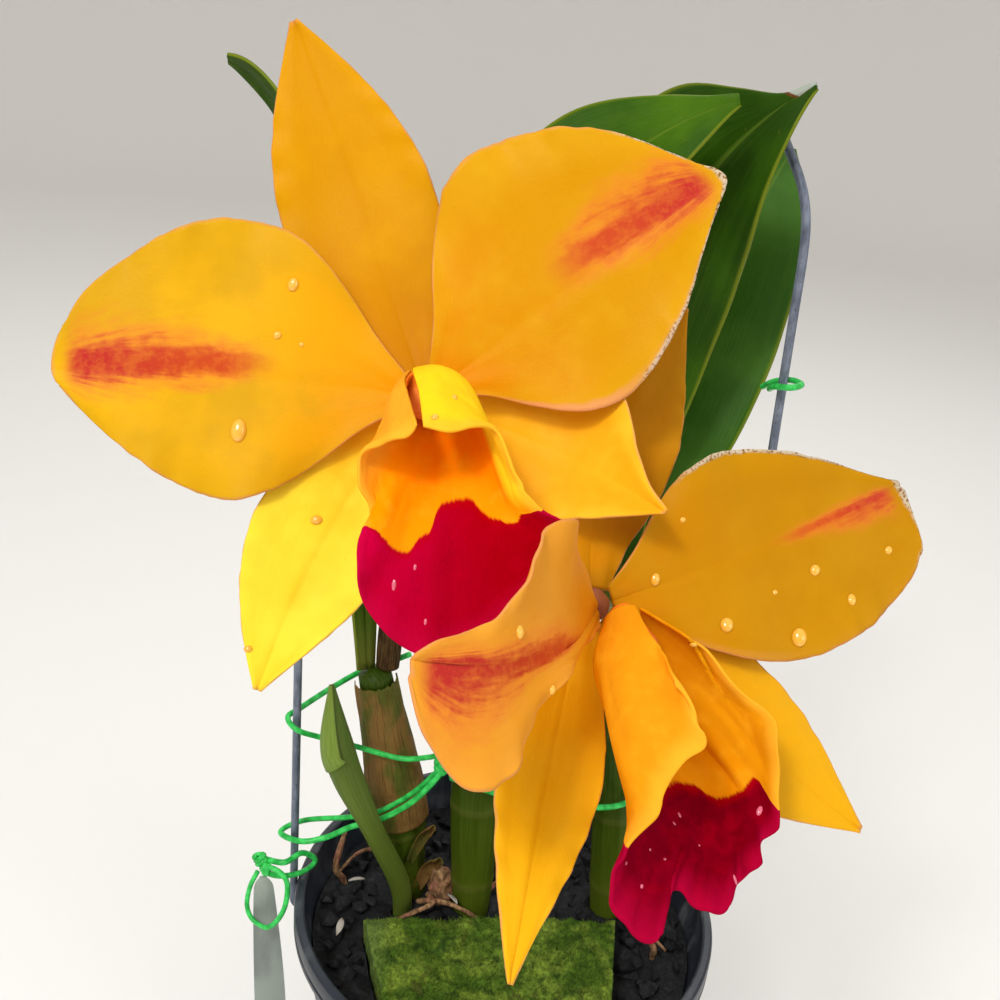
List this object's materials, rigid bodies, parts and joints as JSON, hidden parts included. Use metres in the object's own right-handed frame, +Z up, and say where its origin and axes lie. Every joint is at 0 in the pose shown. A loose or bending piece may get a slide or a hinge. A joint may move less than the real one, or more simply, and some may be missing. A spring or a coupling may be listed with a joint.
{
  "type": "potted cattleya orchid",
  "caption": "Potted cattleya orchid with open golden blooms, crimson lips and strap leaves, tied to wires standing on the rim of a dark drained pot.",
  "frame": {"origin": "centre of the pot's flat underside", "axes": "+Z up along the pot's axis; the blooms face -Y; +X to the right of a viewer who faces the blooms"},
  "size_m": [0.1668, 0.2141, 0.3446],
  "materials": {
    "petal": "golden yellow with a waxy sheen and brick-red flares",
    "lip": "crimson, glossy and wet, with an orange throat",
    "leaf": "deep green, leathery, half gloss",
    "husk": "dry papery tan",
    "root": "matt tan",
    "mix": "matt charcoal",
    "moss": "soft green moss",
    "pot": "blue-black, satin",
    "wire": "grey, satin",
    "tie": "bright green coated wire",
    "label": "light grey, matt"
  },
  "bodies": {
    "root": {"bulb_left": "leaf", "bulb_middle": "leaf", "bulb_right": "leaf", "label": "label", "leaf_front": "leaf", "leaf_left": "leaf", "leaf_middle": "leaf", "leaf_rear": "leaf", "lower_column": "petal", "lower_dorsal_sepal": "petal", "lower_left_petal": "petal", "lower_left_sepal": "petal", "lower_lip": "lip", "lower_right_petal": "petal", "lower_right_sepal": "petal", "lower_stem": "leaf", "medium": "mix", "moss_block": "moss", "pot": "pot", "root_left": "root", "root_lump": "root", "root_right": "root", "sheath": "husk", "stake_left": "wire", "stake_right": "wire", "stem_sheath": "husk", "tie_label": "tie", "tie_leaf": "tie", "tie_lower": "tie", "tie_right": "tie", "tie_upper": "tie", "upper_column": "petal", "upper_dorsal_sepal": "petal", "upper_left_petal": "petal", "upper_left_sepal": "petal", "upper_lip": "lip", "upper_right_petal": "petal", "upper_right_sepal": "petal", "upper_stem": "leaf", "young_shoot": "leaf"}
  },
  "joints": []
}
